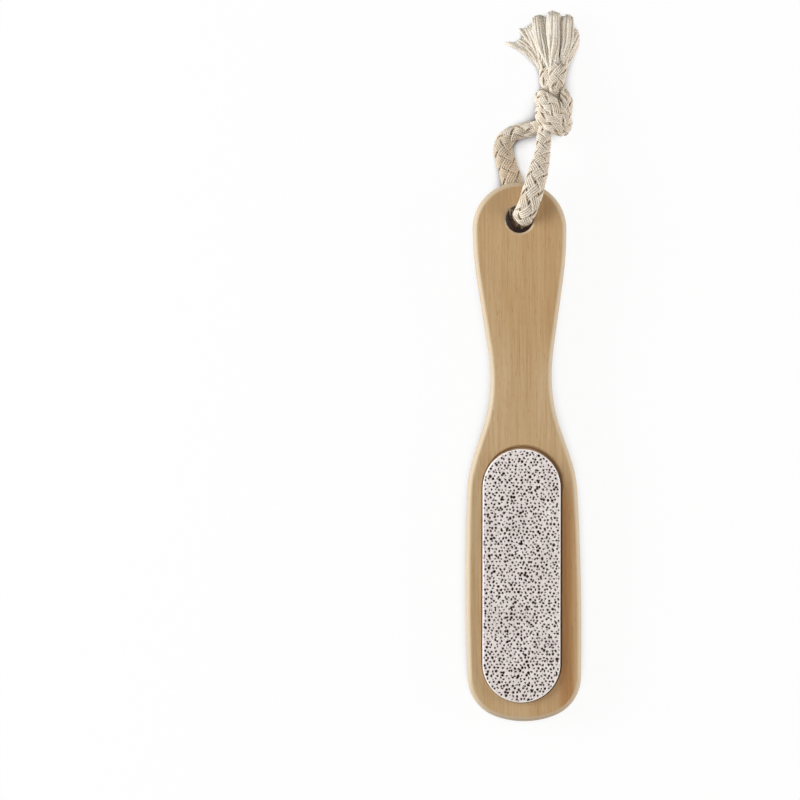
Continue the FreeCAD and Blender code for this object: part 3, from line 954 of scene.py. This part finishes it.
def cotton_finish():
    """Cream streaked by fibres and tinted in clouds, mixed with tan by the depth of the groove."""
    material, tree, shader = new_finish("undyed_cotton")
    groove = add_node(tree, "ShaderNodeAttribute", attribute_name="groove").outputs["Fac"]
    own = add_node(tree, "ShaderNodeAttribute", attribute_name="strand_place").outputs["Vector"]
    fibres = stretched_noise(tree, own, (500, 5200, 5200), detail=3, roughness=0.6)
    clouds = stretched_noise(tree, own, (180, 500, 500), detail=2)
    cream = colour_ramp(tree, fibres, [(0.3, srgb(216, 207, 194)), (0.6, srgb(235, 228, 218))])
    tint = colour_ramp(tree, clouds, [(0.3, srgb(247, 240, 228)), (0.7, srgb(255, 255, 255))])
    cream = mix_colours(tree, 1.0, cream, tint, "MULTIPLY")
    deep = colour_ramp(tree, groove, [(0.25, (0, 0, 0, 1)), (1.0, (0.9, 0.9, 0.9, 1))])
    colour = mix_colours(tree, deep, cream, GAP_TAN)
    tree.links.new(colour, shader.inputs["Base Color"])
    shader.inputs["Roughness"].default_value = 0.92
    shader.inputs["Specular IOR Level"].default_value = 0.15
    shader.inputs["Sheen Weight"].default_value = 0.25
    shader.inputs["Sheen Roughness"].default_value = 0.5
    tree.links.new(bump(tree, fibres, COTTON_RELIEF), shader.inputs["Normal"])
    return material


cotton = cotton_finish()
print("cotton finish has", len(cotton.node_tree.nodes), "nodes")

# %% [markdown]
# The ribbons run unbroken from the hole to the tails, and are cut into the pieces that the frame knows:
# two legs, the knot and two tails. Neighbouring pieces share the ring where they meet, so no joint shows.

# %% Legs, knot and tails
KNOT_HALF_LONG = 9.4 * MM
KNOT_HALF_WIDE = 8.0 * MM


def knot_range(line):
    """The first and last step of a line that lie inside the knot's length and width."""
    away = np.abs(line - knot_middle)
    inside = np.nonzero((away[:, 1] < KNOT_HALF_LONG) & (away[:, 0] < KNOT_HALF_WIDE))[0]
    return int(inside[0]), int(inside[-1])


def cotton_piece(name, node, tubes, grooves, places):
    """A piece of cotton tubes that rides on the cord and stands for a CAD node."""
    piece = make_piece(name, tubes, cotton, {"groove": ("FLOAT", grooves),
                                             "strand_place": ("FLOAT_VECTOR", places)})
    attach(piece, "cord")
    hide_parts(node)
    return piece


def braid_piece(name, node, stretches):
    """One piece from stretches of cord: each is a cord's braid and the steps to take from it."""
    tubes, grooves, places = [], [], []
    for braid, start, stop in stretches:
        for rings, groove, own in braid:
            tubes.append(rings[start:stop + 1])
            grooves.append(np.append(groove[start:stop + 1].ravel(), [1, 1]))
            places.append(tube_points(own[start:stop + 1]))
    return cotton_piece(name, node, tubes, grooves, places)


front_in, front_out = knot_range(front_line)
back_in, back_out = knot_range(back_line)
front_leg_braid = braid_piece("front_leg_braid", "cord_front_leg", [(front_braid, 0, front_in)])
back_leg_braid = braid_piece("back_leg_braid", "cord_back_leg", [(back_braid, 0, back_in)])
knot_braid = braid_piece("knot_braid", "cord_knot",
                         [(front_braid, front_in, front_out), (back_braid, back_in, back_out)])
left_tail_braid = braid_piece("left_tail_braid", "cord_tail_left",
                              [(front_braid, front_out, len(front_line) - 1)])
right_tail_braid = braid_piece("right_tail_braid", "cord_tail_right",
                               [(back_braid, back_out, len(back_line) - 1)])

# %% [markdown]
# Past the tails the braid is combed out, and its yarns gather into bundles that fan out and end bluntly
# where they were cut. A yarn is a thin tube. It starts inside the braid's end, follows its bundle's bent
# middle line, moves over to its own place in the bundle on the way, and wavers a little. The places at the
# root are turned against those at the end, so the yarns cross. Three full bundles lie side by side, and two
# thinner ones under them fill the gaps; the left end's yarns splay out flat, and a short lobe leans to the
# right.

# %% Tassel
YARN_RADIUS = 0.64 * MM
YARN_ROOT_RADIUS = 0.38 * MM
YARN_STEPS = 12
YARN_SIDES = 5
TOP_CROWN = 1.1 * MM
ROOT_WIDE = 1.5 * MM
ROOT_DEEP = 1.3 * MM
BUNDLE_TWIST = 1.3
SPREAD_BY = 0.55
YARN_WAVER = 0.2 * MM
YARN_WAVES = (3, 7)
YARN_END_SHARE = 0.55
YARN_LONG = 25 * MM
YARNS_APART = 3 * MM

# Each bundle, in mm: root, bend, tip, half its end line, half its depth, number of yarns, raggedness
left_bundles = [
    ((9.4, 55.0, 2.6), (7.6, 62.8, 2.0), (-4.6, 65.9, 1.0), (0.4, 0.4), 0.5, 8, 0.5),
    ((9.4, 55.5, 2.8), (7.6, 62.4, 2.0), (-0.4, 67.2, 1.2), (1.7, 1.9), 0.6, 20, 1.2),
    ((9.6, 55.5, 2.8), (8.0, 63.4, 2.0), (0.6, 71.6, 1.3), (0.4, 0.2), 0.5, 9, 0.6),
    ((10.4, 55.5, 2.8), (8.6, 64.4, 2.4), (4.4, 72.4, 1.8), (2.0, 0.8), 1.1, 26, 0.5),
]
right_bundles = [
    ((13.4, 55.0, 7.6), (8.6, 63.6, 5.0), (8.3, 76.2, 3.4), (2.3, 0.0), 1.6, 36, 0.2),
    ((14.0, 55.5, 8.4), (13.3, 66.0, 6.6), (13.7, 77.6, 4.8), (2.2, 0.0), 1.6, 36, 0.2),
    ((16.4, 55.0, 8.0), (18.5, 64.0, 6.0), (19.1, 76.1, 4.2), (2.2, 0.0), 1.6, 34, 0.2),
    ((16.9, 55.5, 7.4), (19.4, 61.6, 5.2), (23.0, 69.0, 3.0), (0.7, -3.0), 1.6, 34, 0.25),
    ((13.6, 55.5, 6.8), (10.8, 65.0, 4.4), (10.9, 74.4, 2.8), (1.7, 0.0), 1.2, 18, 0.4),
    ((15.6, 55.5, 6.8), (16.2, 65.0, 4.6), (16.4, 74.6, 2.8), (1.7, 0.0), 1.2, 18, 0.4),
]


def yarn_rings(lines):
    """Rings round many yarns at once. A yarn swells from its root on, and its last ring is drawn in."""
    t = np.linspace(0, 1, YARN_STEPS)[None, :, None]
    along = unit(np.gradient(lines, axis=1))
    side = unit(np.cross(along, [0.05, 0.1, 1.0]))
    up = np.cross(side, along)
    angle = np.linspace(0, 2 * math.pi, YARN_SIDES, endpoint=False)
    radius = YARN_ROOT_RADIUS + (YARN_RADIUS - YARN_ROOT_RADIUS) * np.minimum(2 * t, 1)
    radius = np.where(t < 1, radius, YARN_END_SHARE * radius)
    ring = side[:, :, None] * np.cos(angle)[:, None] + up[:, :, None] * np.sin(angle)[:, None]
    rings = lines[:, :, None] + ring * radius[..., None]
    rings[..., 2] = np.maximum(rings[..., 2], FLOOR_GAP)
    return rings


def bundle(root, bend, tip, end_line, depth, count, ragged, draw):
    """One bundle's yarns: a curve of three points from root to tip, plus each yarn's own offset.

    The yarns' places are a sunflower's: each turned by the golden angle and further out than the last.
    The offset goes from a place in the root to a place in the end by a smooth step that is over a little
    past half way."""
    root, bend, tip = ((np.array(point) + hole_foot) * MM for point in (root, bend, tip))
    span = np.linalg.norm(tip - root)
    around = np.arange(count) * math.pi * (3 - math.sqrt(5))
    out = np.sqrt((np.arange(count) + 0.5) / count)
    right, deep = (out * np.cos(around))[:, None], (out * np.sin(around))[:, None]
    turned = around + BUNDLE_TWIST
    first = (out * np.cos(turned))[:, None] * [ROOT_WIDE, 0, 0]
    first = first + (out * np.sin(turned))[:, None] * [0, 0, ROOT_DEEP]
    last = right * np.array([*end_line, 0]) * MM + deep * [0, 0, depth * MM]
    cut = (TOP_CROWN * out ** 2 + np.abs(draw.normal(0, ragged, count)) * MM) / span
    t = np.linspace(0, 1, YARN_STEPS) * (1 - cut)[:, None]
    t = t[..., None]
    middle = (1 - t) ** 2 * root + 2 * t * (1 - t) * bend + t ** 2 * tip
    share = ease(t, 0, SPREAD_BY)
    size = draw.normal(0, YARN_WAVER, (count, 1, 3))
    waves = draw.uniform(*YARN_WAVES, (count, 1, 1))
    waver = size * np.sin(waves * t + draw.uniform(0, 6, (count, 1, 1)))
    lines = middle + (1 - share) * first[:, None] + share * last[:, None] + waver
    return yarn_rings(lines)


def frayed_piece(name, node, bundles, seed):
    """The loose yarns of one tail, with places on straight yarns that lie side by side for the finish."""
    draw = np.random.default_rng(seed)
    tubes = [yarn for one in bundles for yarn in bundle(*one, draw)]
    run = np.linspace(0, YARN_LONG, YARN_STEPS)[:, None]
    angle = np.linspace(0, 2 * math.pi, YARN_SIDES, endpoint=False)[None, :]
    section = YARN_RADIUS * np.cos(angle), YARN_RADIUS * np.sin(angle)
    own = np.stack(np.broadcast_arrays(run, *section), axis=-1)
    shift = np.array([0, YARNS_APART, 0])
    places = [tube_points(own + shift * k) for k in range(len(tubes))]
    grooves = [np.zeros(YARN_STEPS * YARN_SIDES + 2) for tube in tubes]
    return cotton_piece(name, node, tubes, grooves, places)


left_fray = frayed_piece("left_frayed_end", "frayed_end_left", left_bundles, 20)
right_fray = frayed_piece("right_frayed_end", "frayed_end_right", right_bundles, 40)
